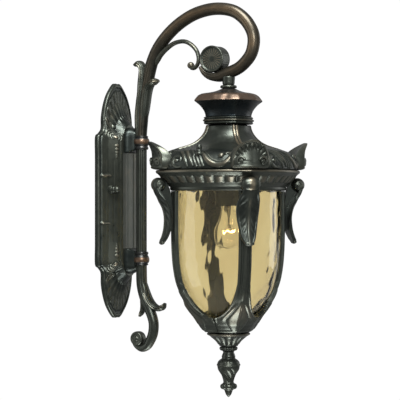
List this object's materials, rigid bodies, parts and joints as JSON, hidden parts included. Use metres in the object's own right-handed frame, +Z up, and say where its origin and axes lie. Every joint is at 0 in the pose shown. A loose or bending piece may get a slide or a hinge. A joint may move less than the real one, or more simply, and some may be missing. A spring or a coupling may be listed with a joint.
{
  "type": "wall lantern",
  "caption": "Outdoor wall lantern: a scrolled arm on a domed backplate carries a bowed-square lantern with amber glass, corner shells, scroll brackets and a finial.",
  "frame": {"origin": "point on the wall plane at the middle of the backplate's height, on the back face of the wall bracket", "axes": "+Z up, -Y out of the wall towards the lantern, +X to the right for someone facing the wall"},
  "size_m": [0.2706, 0.4033, 0.7911],
  "materials": {
    "bronze": "cast, dark oil-rubbed bronze coating with olive-brown high spots",
    "rubbed_bronze": "dark bronze coating rubbed through to a coppery brown",
    "amber_glass": "amber water glass with soft waves",
    "clear_glass": "clear and thin",
    "steel": "zinc plated",
    "brass": "satin",
    "porcelain": "glazed ceramic",
    "lead": "matt flexible cable"
  },
  "bodies": {
    "root": {"backplate": "bronze", "post_tube": "bronze", "arm_arch": "bronze", "branch_scroll": "bronze", "sheath_leaf_wall": "bronze", "sheath_leaf_front": "bronze", "arm_tail": "bronze", "arm_lug_upper": "bronze", "arm_lug_lower": "bronze", "scroll_drum": "bronze", "hanger_stem": "bronze", "crown": "bronze", "neck_ring": "bronze", "roof": "bronze", "lampholder_cover": "bronze", "corner_shell_front_right": "bronze", "corner_shell_rear_right": "bronze", "corner_shell_rear_left": "bronze", "corner_shell_front_left": "bronze", "collar_upper": "rubbed_bronze", "collar_lower": "rubbed_bronze", "hanger_ring": "rubbed_bronze", "wall_bracket": "steel", "fixing_stud_left": "steel", "fixing_stud_right": "steel", "lug_screw_upper": "steel", "lug_screw_lower": "steel", "stem_nipple": "steel", "roof_locknut": "steel", "lampholder": "porcelain", "terminal_block": "porcelain", "supply_lead": "lead"},
    "cage": {"gallery": "bronze", "gallery_stud_left": "steel", "gallery_stud_right": "steel", "cage_rib_front_right": "bronze", "cage_rib_rear_right": "bronze", "cage_rib_rear_left": "bronze", "cage_rib_front_left": "bronze", "scroll_bracket_front_right": "bronze", "scroll_bracket_rear_right": "bronze", "scroll_bracket_rear_left": "bronze", "scroll_bracket_front_left": "bronze", "glass_pane_front": "amber_glass", "glass_pane_right": "amber_glass", "glass_pane_back": "amber_glass", "glass_pane_left": "amber_glass", "cage_cup": "bronze", "cage_base": "bronze", "finial_stud": "steel", "finial_nut": "steel"},
    "finial": {"finial": "bronze"},
    "bulb": {"bulb_cap": "brass", "bulb_glass": "clear_glass", "bulb_filament": "steel"},
    "roof_nut_left": {"roof_cap_nut_left": "rubbed_bronze"},
    "roof_nut_right": {"roof_cap_nut_right": "rubbed_bronze"},
    "plate_nut_left": {"plate_cap_nut_left": "rubbed_bronze"},
    "plate_nut_right": {"plate_cap_nut_right": "rubbed_bronze"}
  },
  "joints": [
    {"name": "cage_drop", "type": "slide", "parent": "root", "child": "cage", "axis": [0, 0, -1], "range_m": [0, 0.2]},
    {"name": "finial_turn", "type": "hinge", "parent": "cage", "child": "finial", "pos_m": [0, -0.268, -0.33], "axis": [0, 0, 1], "continuous": true},
    {"name": "bulb_turn", "type": "hinge", "parent": "root", "child": "bulb", "pos_m": [0, -0.268, 0], "axis": [0, 0, 1], "continuous": true},
    {"name": "roof_nut_left_turn", "type": "hinge", "parent": "root", "child": "roof_nut_left", "pos_m": [-0.121, -0.268, 0.0948], "axis": [0, 0, 1], "continuous": true},
    {"name": "roof_nut_right_turn", "type": "hinge", "parent": "root", "child": "roof_nut_right", "pos_m": [0.121, -0.268, 0.0948], "axis": [0, 0, 1], "continuous": true},
    {"name": "plate_nut_left_turn", "type": "hinge", "parent": "root", "child": "plate_nut_left", "pos_m": [-0.05, -0.0288, 0.023], "axis": [0, -1, 0], "continuous": true},
    {"name": "plate_nut_right_turn", "type": "hinge", "parent": "root", "child": "plate_nut_right", "pos_m": [0.05, -0.0288, 0.023], "axis": [0, -1, 0], "continuous": true}
  ]
}
